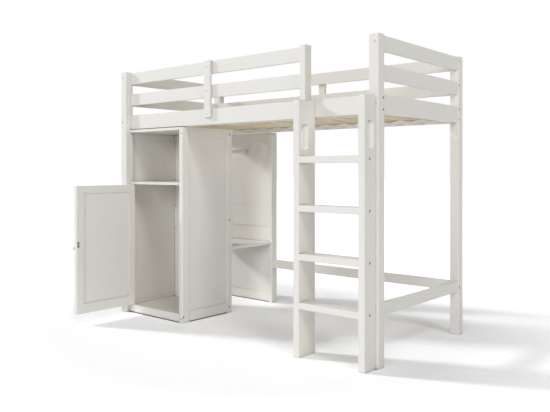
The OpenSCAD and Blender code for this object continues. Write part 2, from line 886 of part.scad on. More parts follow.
module wardrobe_back_rails() {
  back_rails(left_wall_in, stile_in, back_wall_y, back_panel_low, back_panel_high,
    concat(bolts_back_wall, bolts_back_wall_left));
}

module wardrobe_back_panels() {
  color(paint) {
    block(back_panel_low[0], back_panel_low[1]);
    block(back_panel_high[0], back_panel_high[1]);
  }
}

// Board between the wardrobe's walls, cut round the post and the stiles
module wardrobe_board(y0, z, t) {
  color(paint) translate([0, 0, z]) linear_extrude(t) polygon([
    [post_in_left, y0], [stile_in, y0], [stile_in, front_stile_back],
    [wall_in, front_stile_back], [wall_in, rear_stile_y], [stile_in, rear_stile_y],
    [stile_in, back_wall_y], [left_wall_in, back_wall_y], [left_wall_in, post_in_front],
    [post_in_left, post_in_front]
  ]);
}

module wardrobe_top_board() {
  wardrobe_board(unit_front, unit_h - board_t, board_t);
}

module wardrobe_fixed_shelf() {
  wardrobe_board(unit_front, fixed_shelf_z, board_t);
}

module wardrobe_floor_board() {
  wardrobe_board(unit_front + board_t, floor_board_z - board_t, board_t);
}

module wardrobe_base_rail() {
  color(paint) difference() {
    block([post_in_left, unit_front, wall_foot], [stile_in, unit_front + board_t, base_top]);
    bolt_holes(bolts_base);
  }
}

module hinge_stile() {
  y1 = door_front + board_t;
  color(paint) block([post_in_left, door_front, base_top], [left + hinge_x, y1, fixed_shelf_z]);
}

module bay_stile() {
  color(paint) difference() {
    upright([bay_stile_in, post_in_back, 0], [bay_stile_right, back, unit_h]);
    panel_groove(bay_panel_low[0], bay_panel_low[1]);
    panel_groove(bay_panel_high[0], bay_panel_high[1]);
    bolt_holes(bolts_bay);
  }
}

module bay_back_rails() {
  back_rails(post_in_left, bay_stile_in, bay_wall_y, bay_panel_low, bay_panel_high,
    concat(bolts_bay, bolts_bay_left));
}

module bay_back_panels() {
  color(paint) {
    block(bay_panel_low[0], bay_panel_low[1]);
    block(bay_panel_high[0], bay_panel_high[1]);
  }
}

// Shelf from the wardrobe's back to the bay's back wall
module bay_shelf() {
  color(paint) translate([0, 0, bay_shelf_z]) linear_extrude(board_t) polygon([
    [left_wall_out, unit_back], [bay_shelf_right, unit_back], [bay_shelf_right, post_in_back],
    [bay_stile_in, post_in_back], [bay_stile_in, bay_wall_y], [post_in_left, bay_wall_y],
    [post_in_left, post_in_back], [left_wall_out, post_in_back]
  ]);
}

// Cleats under the bay's shelf, on the wardrobe's stiles and on the post and stile behind
module bay_shelf_cleats() {
  color(paint) {
    block([left_wall_out, unit_back, bay_shelf_z - cleat],
      [unit_right - cleat_inset, unit_back + cleat, bay_shelf_z]);
    block([left_wall_out, post_in_back - cleat, bay_shelf_z - cleat],
      [unit_right - cleat_inset, post_in_back, bay_shelf_z]);
  }
}

rod_y0 = back_wall_y + side_panel_in + panel_t;
rod_y1 = bay_wall_y + side_panel_in;

module clothes_rod() {
  y0 = rod_y0 + socket_floor;
  color(paint) translate([rod_at, y0, rod_z]) rotate([-90, 0, 0])
    cylinder(r = rod_r, h = rod_y1 - socket_floor - y0);
}

// Cup with a flange that takes one end of the rod
module rod_socket() {
  difference() {
    union() {
      cylinder(r = rod_r + hole_fit + socket_wall + socket_flange, h = socket_floor);
      cylinder(r = rod_r + hole_fit + socket_wall, h = socket_floor + rod_seat);
    }
    translate([0, 0, socket_floor]) cylinder(r = rod_r + hole_fit, h = rod_seat + eps);
  }
}

module clothes_rod_sockets() {
  color(paint) {
    translate([rod_at, rod_y0, rod_z]) rotate([-90, 0, 0]) rod_socket();
    translate([rod_at, rod_y1, rod_z]) rotate([90, 0, 0]) rod_socket();
  }
}

// Everything on the door is modelled shut and turned open about the hinge axis
module opened() {
  translate([axis_x, axis_y, 0]) rotate([0, 0, -door_open]) translate([-axis_x, -axis_y, 0]) children();
}

door_panel_box = [
  [door_x0 + door_stile_w - panel_tongue + panel_fit, door_back - door_panel_in - panel_t,
    door_z0 + door_bottom_h - panel_tongue],
  [door_x1 - door_stile_w + panel_tongue - panel_fit, door_back - door_panel_in,
    door_z1 - door_top_h + panel_tongue]
];

module door_stile(x0, x1) {
  color(paint) opened() difference() {
    block([x0, door_front, door_z0], [x1, door_back, door_z1]);
    panel_groove(door_panel_box[0], door_panel_box[1]);
  }
}

module door_stile_hinge() {
  door_stile(door_x0, door_x0 + door_stile_w);
}

module door_stile_free() {
  door_stile(door_x1 - door_stile_w, door_x1);
}

module door_rails() {
  x0 = door_x0 + door_stile_w;
  x1 = door_x1 - door_stile_w;
  color(paint) opened() difference() {
    union() {
      block([x0, door_front, door_z0], [x1, door_back, door_z0 + door_bottom_h]);
      block([x0, door_front, door_z1 - door_top_h], [x1, door_back, door_z1]);
    }
    panel_groove(door_panel_box[0], door_panel_box[1]);
  }
}

module door_panel() {
  color(paint) opened() block(door_panel_box[0], door_panel_box[1]);
}

// Mushroom knob on the front of the door's free stile
module door_knob() {
  color(steel) opened()
    translate([door_x1 - door_stile_w / 2, door_front, knob_z]) rotate([90, 0, 0]) {
      cylinder(r = knob_neck_r, h = knob_reach - knob_crown);
      translate([0, 0, knob_reach - 2 * knob_crown])
        cylinder(r1 = knob_neck_r, r2 = knob_r, h = knob_crown);
      translate([0, 0, knob_reach - knob_crown]) cylinder(r = knob_r, h = knob_crown);
    }
}

module door_strike() {
  x1 = door_x1 - door_gap;
  z0 = catch_z - strike_h / 2;
  color(dark) opened()
    block([x1 - strike_w, door_back, z0], [x1, door_back + strike_t, z0 + strike_h]);
}

module door_catch() {
  y0 = door_back + strike_t + running_gap;
  z0 = catch_z - strike_h / 2;
  color(dark)
    block([stile_in - catch_reach, y0, z0], [stile_in, y0 + catch_d, z0 + strike_h]);
}

// Knuckles with the given numbers, and their leaf on one side of the axis
module hinge_leaf(numbers, side, plate_x) {
  x0 = side > 0 ? plate_x : -plate_x - leaf_t;
  difference() {
    union() {
      for (k = numbers)
        translate([0, 0, k * knuckle_pitch + knuckle_gap / 2]) {
          cylinder(r = knuckle_r, h = knuckle_pitch - knuckle_gap);
          translate([x0, 0, 0]) cube([leaf_t, axis_out + eps, knuckle_pitch - knuckle_gap]);
        }
      translate([x0, axis_out, 0]) cube([leaf_t, leaf_reach, hinge_h]);
    }
    translate([0, 0, -eps]) cylinder(r = pin_r + pin_fit, h = hinge_h + 2 * eps);
  }
}

leaf_x = door_gap / 2 - leaf_t;

module door_hinge_leaves() {
  color(steel) opened()
    for (z = hinge_levels) translate([axis_x, axis_y, z]) hinge_leaf([1, 3], 1, leaf_x);
}

module frame_hinge_leaves() {
  color(steel)
    for (z = hinge_levels) translate([axis_x, axis_y, z]) hinge_leaf([0, 2, 4], -1, leaf_x);
}

module hinge_pins() {
  color(steel)
    for (z = hinge_levels)
      translate([axis_x, axis_y, z - knuckle_gap]) {
        cylinder(r = pin_r, h = hinge_h + 2 * knuckle_gap);
        translate([0, 0, hinge_h + knuckle_gap]) cylinder(r = knuckle_r, h = pin_r);
        translate([0, 0, -pin_r + knuckle_gap]) cylinder(r = knuckle_r, h = pin_r);
      }
}

module assembly_bolts() {
  color(steel) for (b = concat(nut_bolts, plain_bolts)) bolt(b);
}

module cross_nuts() {
  color(steel) for (b = nut_bolts) cross_nut(b);
}

post_front_left();
post_front_right();
post_back_left();
post_back_right();
side_rail_front();
side_rail_back();
end_rail_left();
end_rail_right();
guard_front_top();
guard_front_mid();
guard_front_batten();
guard_end_post();
guard_back_top();
guard_back_mid();
guard_back_batten();
guard_left_top();
guard_left_mid();
guard_right_top();
guard_right_mid();
low_rail_back();
low_rail_right();
slat_ledgers();
slats();
ladder_stile_left();
ladder_stile_right();
ladder_treads();
wardrobe_stile_front();
wardrobe_stile_rear();
wardrobe_stile_left();
wardrobe_side_rails();
wardrobe_side_panel();
wardrobe_left_rails();
wardrobe_left_panel();
wardrobe_back_rails();
wardrobe_back_panels();
wardrobe_top_board();
wardrobe_fixed_shelf();
wardrobe_floor_board();
wardrobe_base_rail();
hinge_stile();
bay_stile();
bay_back_rails();
bay_back_panels();
bay_shelf();
bay_shelf_cleats();
clothes_rod();
clothes_rod_sockets();
door_stile_hinge();
door_stile_free();
door_rails();
door_panel();
door_knob();
door_strike();
door_hinge_leaves();
frame_hinge_leaves();
hinge_pins();
door_catch();
assembly_bolts();
cross_nuts();
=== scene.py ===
"""Loft bed: painted wood, pine slats, steel hardware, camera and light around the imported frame."""

import json
import math

import bpy
import numpy as np
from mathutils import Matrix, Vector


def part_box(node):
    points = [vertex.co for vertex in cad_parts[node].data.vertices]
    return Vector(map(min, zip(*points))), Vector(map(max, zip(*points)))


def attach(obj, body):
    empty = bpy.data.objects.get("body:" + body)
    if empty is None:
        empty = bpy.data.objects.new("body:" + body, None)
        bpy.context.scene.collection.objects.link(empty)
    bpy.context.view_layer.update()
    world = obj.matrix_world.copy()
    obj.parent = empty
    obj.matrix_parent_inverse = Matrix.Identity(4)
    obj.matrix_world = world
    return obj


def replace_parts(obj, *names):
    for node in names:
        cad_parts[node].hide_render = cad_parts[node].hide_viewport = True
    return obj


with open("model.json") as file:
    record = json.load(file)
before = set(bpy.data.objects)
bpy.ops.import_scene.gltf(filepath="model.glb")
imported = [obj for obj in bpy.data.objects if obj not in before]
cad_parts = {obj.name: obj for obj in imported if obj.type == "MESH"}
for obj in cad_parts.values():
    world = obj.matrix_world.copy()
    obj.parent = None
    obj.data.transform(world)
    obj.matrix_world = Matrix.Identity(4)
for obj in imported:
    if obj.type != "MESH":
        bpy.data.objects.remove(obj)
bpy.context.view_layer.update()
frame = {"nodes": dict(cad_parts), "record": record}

bl_info = {
    "name": "Loft bed finish",
    "version": (1, 0, 0),
    "blender": (4, 5, 0),
    "location": "View3D > Sidebar > Loft bed",
    "description": "Finishes, small fittings, camera and light for the loft bed",
    "category": "Object",
}

MM = 0.001

# The photograph's frame in pixels.
IMAGE_W = 550
IMAGE_H = 412

# The camera's sensor in millimetres, and how far it sees in metres.
SENSOR_WIDTH = 36.0
FAR_CLIP = 200.0

# The CAD's plain knob, and the outline of the turned one as shares of its reach and its radius.
KNOB_LOW, KNOB_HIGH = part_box("door_knob")
KNOB_REACH = KNOB_HIGH[0] - KNOB_LOW[0]
KNOB_RADIUS = (KNOB_HIGH[2] - KNOB_LOW[2]) / 2
KNOB_OUTLINE = (
    (0.0, 0.62), (0.05, 0.62), (0.1, 0.54), (0.22, 0.46), (0.42, 0.45), (0.56, 0.6), (0.66, 0.86),
    (0.76, 0.98), (0.85, 0.99), (0.93, 0.9), (0.98, 0.66), (0.998, 0.34))
KNOB_STEPS = 5
KNOB_SIDES = 48

# A screw head's dome: its rings as shares of the radius, and its fall as a share of the height.
SCREW_SIDES = 24
DOME_RINGS = (1.0, 0.97, 0.85, 0.7, 0.55, 0.42, 0.3, 0.2, 0.1)
DOME_FALL = 0.6

# The cross cut in a screw head: half width and reach as shares of the radius, depth of the height.
CROSS_HALF_WIDTH = 0.17
CROSS_REACH = 0.6
CROSS_DEPTH = 0.5

# Inset of the screws from the slats' ends.
SLAT_SCREW_INSET = 13 * MM

# Thickness of a rod socket's flange, and height of its screws over and under its middle.
SOCKET_FLANGE = 3 * MM
SOCKET_SCREW_REACH = 21 * MM

# Radius of the catch plate's screw head as a multiple of the small screws'.
STRIKE_SCREW_TIMES = 1.3

# Slats and the gaps between them are wider than this, and the steps of a slat's rounded edge are narrower.
SLAT_STEP = 30 * MM

# The guard end post's two bolt heads: fall from its top to the middle between them, and reach round it.
PAINTED_BOLT_FALL = 102 * MM
PAINTED_BOLT_REACH = 88 * MM

# Scale of the grain along the wood and across it, for grain along each axis.
ALONG = 0.9
ACROSS = 16.0
GRAIN_AXES = {"x": (ALONG, ACROSS, ACROSS), "y": (ACROSS, ALONG, ACROSS), "z": (ACROSS, ACROSS, ALONG)}

# How often the grain's noise is folded into rings under paint and on bare pine.
PAINT_RINGS = 14.0
PINE_RINGS = 26.0

# Most values of a noise lie between these two.
NOISE_SPAN = (0.3, 0.7)

# Colour, roughness and depth of the cloudy wear of each steel.
STEELS = {
    "satin_steel": ((0.55, 0.54, 0.51), 0.35, 0.5),
    "dark_steel": ((0.2, 0.2, 0.185), 0.45, 0.4),
    "bolt_steel": ((0.34, 0.32, 0.29), 0.45, 0.6),
    "knob_steel": ((0.3, 0.29, 0.27), 0.28, 0.4),
    "screw_steel": ((0.55, 0.53, 0.48), 0.35, 0.5),
}

# Painted light: colour of the bolt heads that face the front, lighter as if lit from there.
FRONT_LIT_BOLT_PAINT = (0.58, 0.55, 0.5)

# Scale of the marks on steel, and the share of its colour that worn steel keeps.
STEEL_MARKS = (60, 60, 60)
WORN_STEEL = 0.7

# Matt plastic and the paler specks in it.
PLASTIC = (0.035, 0.033, 0.03)
PLASTIC_SPECK = (0.06, 0.057, 0.05)

# Half the floor's width, the share of its colour in its darker tone, and the width of its painted contact
# shade.
FLOOR_REACH = 60.0
FLOOR_SHADE = 0.99
CONTACT_REACH = 30 * MM

# Distances from the floor's middle between which its glow grows.
NEAR_GLOW_END = 1.25
FAR_GLOW_START = 2.2

# Direction of travel from +X to +Y, elevation and size of each soft lamp in degrees.
FRONT_LAMP = (110, 15, 22)
SIDE_LAMP = (162, 24, 14)
STEEP_LAMP = (150, 48, 12)
TOP_LAMP = (90, 80, 90)

# Colour of the plain lamps and the backdrop, and of the even light.
WHITE = (1, 1, 1)
FILL_COLOUR = (1.0, 0.995, 0.985)

# Sockets of Blender's Mix node when it mixes colours.
MIX_FACTOR, MIX_FIRST, MIX_SECOND, MIX_RESULT = 0, 6, 7, 2


class LoftBedPaint(bpy.types.PropertyGroup):
    """Paint on the wood"""
    colour: bpy.props.FloatVectorProperty(
        name="Paint colour", description="Colour of the satin paint", subtype="COLOR",
        size=3, min=0, max=1, default=(0.845, 0.822, 0.772))
    shade: bpy.props.FloatVectorProperty(
        name="Paint shade", description="Slightly darker tone where the paint is thin", subtype="COLOR",
        size=3, min=0, max=1, default=(0.82, 0.788, 0.718))
    roughness: bpy.props.FloatProperty(
        name="Roughness", description="Roughness of the satin paint", default=0.42, min=0, max=1)
    grain: bpy.props.FloatProperty(
        name="Grain", description="Strength of the grain that shows through the paint",
        default=0.12, min=0, max=1)
    # Painted shade: the corner reach and corner shade darken the paint's colour beside corners and gaps.
    corner_reach: bpy.props.FloatProperty(
        name="Corner reach", description="Width of the darker stretch beside a corner or gap",
        unit="LENGTH", default=30 * MM)
    corner_shade: bpy.props.FloatProperty(
        name="Corner shade", description="Share of the colour that is left deep in a corner or gap",
        default=0.36, min=0, max=1)


class LoftBedPine(bpy.types.PropertyGroup):
    """Bare pine of the slats"""
    early: bpy.props.FloatVectorProperty(
        name="Early wood", description="Colour between the rings", subtype="COLOR",
        size=3, min=0, max=1, default=(0.77, 0.68, 0.49))
    late: bpy.props.FloatVectorProperty(
        name="Late wood", description="Colour of the rings", subtype="COLOR",
        size=3, min=0, max=1, default=(0.58, 0.45, 0.27))


class LoftBedFittings(bpy.types.PropertyGroup):
    """Turned knob and screws"""
    knob_reach: bpy.props.FloatProperty(
        name="Knob reach", description="Reach of the knob from the door", unit="LENGTH",
        default=KNOB_REACH + 6 * MM)
    knob_radius: bpy.props.FloatProperty(
        name="Knob radius", description="Radius of the knob's head", unit="LENGTH",
        default=KNOB_RADIUS + 2 * MM)
    slat_screw_radius: bpy.props.FloatProperty(
        name="Slat screw radius", description="Radius of the screw heads on the slats", unit="LENGTH",
        default=4 * MM)
    small_screw_radius: bpy.props.FloatProperty(
        name="Small screw radius", description="Radius of the screw heads on the rod sockets; the catch "
        "plate's head is a little larger", unit="LENGTH", default=3 * MM)
    screw_height: bpy.props.FloatProperty(
        name="Screw height", description="Height of a screw head over its seat", unit="LENGTH",
        default=1.1 * MM)
    flat_height: bpy.props.FloatProperty(
        name="Flat screw height", description="Height of the sunk screw head that clears the magnet block",
        unit="LENGTH", default=0.25 * MM)


class LoftBedStage(bpy.types.PropertyGroup):
    """Camera, floor and light"""
    yaw: bpy.props.FloatProperty(
        name="Camera yaw", description="Turn of the view from straight at the front",
        subtype="ANGLE", default=math.radians(42.15))
    height: bpy.props.FloatProperty(
        name="Camera height", description="Height of the level camera", unit="LENGTH", default=1.0239)
    camera_x: bpy.props.FloatProperty(
        name="Camera X", description="Place of the camera along the bed", unit="LENGTH", default=2.8118)
    camera_y: bpy.props.FloatProperty(
        name="Camera Y", description="Place of the camera across the bed", unit="LENGTH", default=-3.2825)
    focal: bpy.props.FloatProperty(
        name="Focal length", description="Focal length in image pixels", default=664.7)
    centre_u: bpy.props.FloatProperty(
        name="Centre U", description="Pixel column of the view's axis", default=238.9)
    horizon_v: bpy.props.FloatProperty(
        name="Horizon V", description="Pixel row of the horizon", default=169.96)
    floor_colour: bpy.props.FloatVectorProperty(
        name="Floor colour", description="Colour of the pale floor", subtype="COLOR",
        size=3, min=0, max=1, default=(0.95, 0.95, 0.955))
    floor_glow: bpy.props.FloatProperty(
        name="Floor glow", description="White added to the floor where it is seen near the bed",
        default=0.16)
    far_glow: bpy.props.FloatProperty(
        name="Far glow", description="White added to the floor where it is seen far from the bed",
        default=0.5)
    light_colour: bpy.props.FloatVectorProperty(
        name="Light colour", description="Colour of the key and front lights", subtype="COLOR",
        size=3, min=0, max=1, default=(0.94, 0.962, 1.0))
    key_strength: bpy.props.FloatProperty(
        name="Key strength", description="Strength of the key light", default=1.66)
    floor_key_strength: bpy.props.FloatProperty(
        name="Floor key strength", description="Strength of the key light's share for the floor alone",
        default=0.65)
    key_azimuth: bpy.props.FloatProperty(
        name="Key azimuth", description="Direction in which the key light travels, from +X to +Y",
        subtype="ANGLE", default=math.radians(24))
    key_elevation: bpy.props.FloatProperty(
        name="Key elevation", description="Height of the key light over the floor",
        subtype="ANGLE", default=math.radians(26.7))
    key_size: bpy.props.FloatProperty(
        name="Key size", description="Angle that the key light fills", subtype="ANGLE",
        default=math.radians(8))
    front_strength: bpy.props.FloatProperty(
        name="Front strength", description="Strength of the soft light from the front", default=0.93)
    side_strength: bpy.props.FloatProperty(
        name="Side strength", description="Strength of the low soft light from the right", default=0.46)
    steep_strength: bpy.props.FloatProperty(
        name="Steep strength", description="Strength of the light from high at the front right",
        default=0.42)
    floor_top_strength: bpy.props.FloatProperty(
        name="Floor top strength", description="Strength of the wide light from above for the floor alone",
        default=0.5)
    fill_strength: bpy.props.FloatProperty(
        name="Fill strength", description="Strength of the even light from all round", default=0.08)


def settings(name):
    """The scene's own copy of one property group."""
    return getattr(bpy.context.scene, "loft_bed_" + name)


def middle(low, high):
    """Middle of a box, from its two corners."""
    return [(start + end) / 2 for start, end in zip(low, high)]


def feed(tree, target, value):
    """Links a socket to the target, or sets the target to a plain value; a colour gets full alpha."""
    if isinstance(value, bpy.types.NodeSocket):
        tree.links.new(value, target)
    elif target.type == "RGBA":
        target.default_value = (*value[:3], 1)
    else:
        target.default_value = value


def add_node(tree, kind, inputs, **options):
    """A shader node with its options set and its inputs fed, each from a socket or a plain value."""
    node = tree.nodes.new("ShaderNode" + kind)
    for option, value in options.items():
        setattr(node, option, value)
    for key, value in inputs.items():
        feed(tree, node.inputs[key], value)
    return node


def object_place(tree, scale=(1, 1, 1)):
    """Object coordinates times the scale; wood grain runs along the axis with the least."""
    coordinates = tree.nodes.new("ShaderNodeTexCoord")
    mapping = add_node(tree, "Mapping", {"Vector": coordinates.outputs["Object"], "Scale": scale})
    return mapping.outputs["Vector"]


def noise(tree, place, scale, detail, roughness=0.5):
    """Value of a noise texture that is read at the place."""
    inputs = {"Vector": place, "Scale": scale, "Detail": detail, "Roughness": roughness}
    return add_node(tree, "TexNoise", inputs).outputs["Fac"]


def ramp(tree, source, low, high, out_low=0.0, out_high=1.0):
    """Maps a value from one range to another and clamps it."""
    inputs = {"Value": source, "From Min": low, "From Max": high, "To Min": out_low, "To Max": out_high}
    return add_node(tree, "MapRange", inputs).outputs["Result"]


def mix_colour(tree, factor, first, second, blend="MIX"):
    """Mixes two colours; each is a socket or a plain colour."""
    inputs = {MIX_FACTOR: factor, MIX_FIRST: first, MIX_SECOND: second}
    return add_node(tree, "Mix", inputs, data_type="RGBA", blend_type=blend).outputs[MIX_RESULT]


def calculate(tree, operation, first, second=0.0):
    """Result of a Math node; each value is a socket or a plain number."""
    return add_node(tree, "Math", {0: first, 1: second}, operation=operation).outputs[0]


def distance_from(tree, point):
    """Distance of the surface from a point in object coordinates."""
    inputs = {0: object_place(tree), 1: point}
    return add_node(tree, "VectorMath", inputs, operation="DISTANCE").outputs["Value"]


def pitted(tree, shader, height, strength, depth):
    """Bends the shader's normal by the slope of the height, through a Bump node."""
    bump = add_node(tree, "Bump", {"Height": height, "Strength": strength, "Distance": depth})
    feed(tree, shader.inputs["Normal"], bump.outputs["Normal"])


def new_group(name, inputs, outputs):
    """A node group with inputs of a kind and default, and outputs that are plain numbers."""
    group = bpy.data.node_groups.new(name, "ShaderNodeTree")
    for label, (kind, value) in inputs.items():
        socket = group.interface.new_socket(name=label, in_out="INPUT", socket_type="NodeSocket" + kind)
        socket.default_value = value
    for label in outputs:
        group.interface.new_socket(name=label, in_out="OUTPUT", socket_type="NodeSocketFloat")
    given = group.nodes.new("NodeGroupInput")
    made = group.nodes.new("NodeGroupOutput")
    return group, given.outputs, made.inputs


def wood_grain(name):
    """Wood grain along one axis: noise stretched along it, folded into rings by a sine, with fine pores."""
    inputs = {"Vector": ("Vector", (0, 0, 0)), "Rings": ("Float", PAINT_RINGS)}
    group, given, made = new_group(name, inputs, ("Rings", "Pores", "Tone"))
    place = given["Vector"]
    long_noise = noise(group, place, scale=2.2, detail=3.0, roughness=0.55)
    fold = calculate(group, "SINE", calculate(group, "MULTIPLY", long_noise, given["Rings"]))
    feed(group, made["Rings"], ramp(group, fold, -1.0, 1.0))
    feed(group, made["Pores"], noise(group, place, scale=34.0, detail=4.0, roughness=0.65))
    feed(group, made["Tone"], noise(group, place, scale=0.9, detail=1.0))
    return group


def steel_wear(name):
    """Marks on steel: a cloudy mask of worn places, and a roughness that fine scratches change."""
    inputs = {"Vector": ("Vector", (0, 0, 0)), "Wear": ("Float", 0.5), "Roughness": ("Float", 0.4)}
    group, given, made = new_group(name, inputs, ("Worn", "Roughness"))
    place = given["Vector"]
    cloud = noise(group, place, scale=1.2, detail=2.0)
    feed(group, made["Worn"], ramp(group, cloud, *NOISE_SPAN, out_high=given["Wear"]))
    scratch = noise(group, place, scale=6.0, detail=5.0, roughness=0.7)
    change = ramp(group, scratch, *NOISE_SPAN, out_low=-0.08, out_high=0.12)
    feed(group, made["Roughness"], calculate(group, "ADD", given["Roughness"], change))
    return group


def corner_shade(name):
    """Painted shade: one on open faces, falling to the darkest value in corners and gaps narrower than the
    reach, where shade falls: the open share of the space around a point, mapped from between closed and
    clear."""
    inputs = {"Reach": ("Float", CONTACT_REACH), "Closed": ("Float", 0.1), "Clear": ("Float", 0.7),
              "Darkest": ("Float", 0.0)}
    group, given, made = new_group(name, inputs, ("Shade",))
    space = add_node(group, "AmbientOcclusion", {"Distance": given["Reach"]}, samples=8)
    shade = ramp(group, space.outputs["AO"], given["Closed"], given["Clear"], out_low=given["Darkest"])
    feed(group, made["Shade"], shade)
    return group


def effect(tree, build, **inputs):
    """Places a shared effect's node group with inputs of its own; build makes the group on its first use."""
    name = build.__name__
    group = bpy.data.node_groups.get(name) or build(name)
    return add_node(tree, "Group", inputs, node_tree=group).outputs


def surface(name):
    """A material with a Principled shader; returns the material, its tree and the shader."""
    material = bpy.data.materials.new(name)
    material.use_nodes = True
    tree = material.node_tree
    return material, tree, tree.nodes["Principled BSDF"]


def painted_wood(axis):
    """Satin paint over wood whose grain runs along the axis, with painted shade in corners and gaps."""
    paint = settings("paint")
    material, tree, shader = surface("painted_wood_" + axis)
    place = object_place(tree, GRAIN_AXES[axis])
    grain = effect(tree, wood_grain, Vector=place, Rings=PAINT_RINGS)
    cloud = noise(tree, object_place(tree), scale=3.0, detail=2.0)
    worn = ramp(tree, cloud, low=0.35, high=0.7, out_high=0.45)
    colour = mix_colour(tree, worn, paint.colour, paint.shade)
    ring_tint = ramp(tree, grain["Rings"], low=0.55, high=1.0, out_high=paint.grain)
    colour = mix_colour(tree, ring_tint, colour, paint.shade)
    # Painted shade: the corner shade darkens the colour in corners and gaps, where shade falls.
    corner = effect(tree, corner_shade, Reach=paint.corner_reach, Closed=0.1, Clear=0.72,
                    Darkest=paint.corner_shade)
    feed(tree, shader.inputs["Base Color"], mix_colour(tree, 1.0, colour, corner["Shade"], "MULTIPLY"))
    smoothest, roughest = paint.roughness - 0.06, paint.roughness + 0.1
    rough = ramp(tree, grain["Pores"], low=0.3, high=0.75, out_low=smoothest, out_high=roughest)
    feed(tree, shader.inputs["Roughness"], rough)
    pitted(tree, shader, grain["Pores"], strength=0.12, depth=0.4 * MM)
    return material


def bare_pine():
    """Sanded pine with rings along Y."""
    pine = settings("pine")
    material, tree, shader = surface("bare_pine")
    grain = effect(tree, wood_grain, Vector=object_place(tree, GRAIN_AXES["y"]), Rings=PINE_RINGS)
    colour = mix_colour(tree, grain["Rings"], pine.early, pine.late)
    pale = ramp(tree, grain["Tone"], *NOISE_SPAN, out_high=0.6)
    feed(tree, shader.inputs["Base Color"], mix_colour(tree, pale, colour, pine.early))
    rough = ramp(tree, grain["Pores"], *NOISE_SPAN, out_low=0.5, out_high=0.7)
    feed(tree, shader.inputs["Roughness"], rough)
    pitted(tree, shader, grain["Pores"], strength=0.25, depth=0.5 * MM)
    return material


def steel(name):
    """Steel with fine scratches, which keeps a share of its colour where it is worn."""
    colour, roughness, wear = STEELS[name]
    material, tree, shader = surface(name)
    place = object_place(tree, STEEL_MARKS)
    marks = effect(tree, steel_wear, Vector=place, Wear=wear, Roughness=roughness)
    dull = tuple(channel * WORN_STEEL for channel in colour)
    feed(tree, shader.inputs["Base Color"], mix_colour(tree, marks["Worn"], colour, dull))
    feed(tree, shader.inputs["Roughness"], marks["Roughness"])
    shader.inputs["Metallic"].default_value = 1.0
    return material


def bolt_steel():
    """Plated steel, with painted light on front-facing heads; the guard end post's two heads are painted."""
    paint = settings("paint")
    material = steel("bolt_steel")
    tree = material.node_tree
    shader = tree.nodes["Principled BSDF"]
    # Painted light: heads that face the front are mixed towards a lighter colour, as if lit from the front.
    normal = tree.nodes.new("ShaderNodeNewGeometry").outputs["Normal"]
    towards_back = add_node(tree, "SeparateXYZ", {0: normal}).outputs["Y"]
    painted_front_light = ramp(tree, towards_back, low=-0.3, high=-0.8)
    worn = shader.inputs["Base Color"].links[0].from_socket
    colour = mix_colour(tree, painted_front_light, worn, FRONT_LIT_BOLT_PAINT)
    low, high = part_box("guard_end_post")
    between_heads = (high[0], middle(low, high)[1], high[2] - PAINTED_BOLT_FALL)
    painted = calculate(tree, "LESS_THAN", distance_from(tree, between_heads), PAINTED_BOLT_REACH)
    feed(tree, shader.inputs["Base Color"], mix_colour(tree, painted, colour, paint.colour))
    feed(tree, shader.inputs["Metallic"], calculate(tree, "SUBTRACT", 1.0, painted))
    return material


def dark_plastic():
    """Matt dark plastic with a fine moulded texture."""
    material, tree, shader = surface("dark_plastic")
    speck = noise(tree, object_place(tree), scale=900.0, detail=2.0)
    colour = mix_colour(tree, ramp(tree, speck, *NOISE_SPAN), PLASTIC, PLASTIC_SPECK)
    feed(tree, shader.inputs["Base Color"], colour)
    shader.inputs["Roughness"].default_value = 0.55
    pitted(tree, shader, speck, strength=0.2, depth=0.2 * MM)
    return material


def seen_directly(tree):
    """One where the camera, a reflection or a view through glass sees the surface, zero elsewhere."""
    rays = tree.nodes.new("ShaderNodeLightPath").outputs
    either = calculate(tree, "MAXIMUM", rays["Is Camera Ray"], rays["Is Glossy Ray"])
    return calculate(tree, "MAXIMUM", either, rays["Is Transmission Ray"])


def floor_material(colour, near_glow, far_glow):
    """Pale floor with painted contact shade where a piece stands on it, and lifted towards white where
    it is seen directly, more so far from the bed."""
    material, tree, shader = surface("studio_floor")
    cloud = noise(tree, object_place(tree), scale=0.8, detail=2.0)
    shade = tuple(channel * FLOOR_SHADE for channel in colour)
    mixed = mix_colour(tree, cloud, colour, shade)
    # Painted contact shade: darkens the floor's colour and its glow where a piece stands on or near it.
    corner = effect(tree, corner_shade, Reach=CONTACT_REACH, Closed=0.3, Clear=0.62, Darkest=0.0)
    contact = corner["Shade"]
    feed(tree, shader.inputs["Base Color"], mix_colour(tree, 1.0, mixed, contact, "MULTIPLY"))
    shader.inputs["Roughness"].default_value = 0.9
    shader.inputs["Specular IOR Level"].default_value = 0.1
    away = distance_from(tree, (0, 0, 0))
    glow = ramp(tree, away, NEAR_GLOW_END, FAR_GLOW_START, near_glow, far_glow)
    seen = calculate(tree, "MULTIPLY", seen_directly(tree), contact)
    feed(tree, shader.inputs["Emission Color"], calculate(tree, "MULTIPLY", seen, glow))
    shader.inputs["Emission Strength"].default_value = 1.0
    return material


def dress(names, material):
    """Puts a material into every slot of the named CAD nodes."""
    for name in names:
        node = frame["nodes"][name]
        for slot in node.material_slots:
            slot.material = material


def longest_axis(name):
    """The axis along which a node's box is longest."""
    low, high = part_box(name)
    spans = [high[i] - low[i] for i in range(3)]
    return "xyz"[spans.index(max(spans))]


SLOT_OF = {part["node"]: part["material_slot"] for part in frame["record"]["subparts"]}


def nodes_with(*slots):
    """Names of the CAD nodes that use one of the record's slots."""
    return [name for name, slot in SLOT_OF.items() if slot in slots]


class LOFTBED_OT_paint(bpy.types.Operator):
    """Paints every wooden piece, with the grain along its length"""
    bl_idname = "loftbed.paint"
    bl_label = "Paint the wood"

    def execute(self, context):
        painted = {axis: painted_wood(axis) for axis in "xyz"}
        for name in nodes_with("paint", "door_paint"):
            axis = "x" if name == "ladder_treads" else longest_axis(name)
            dress([name], painted[axis])
        dress(nodes_with("pine"), bare_pine())
        return {"FINISHED"}


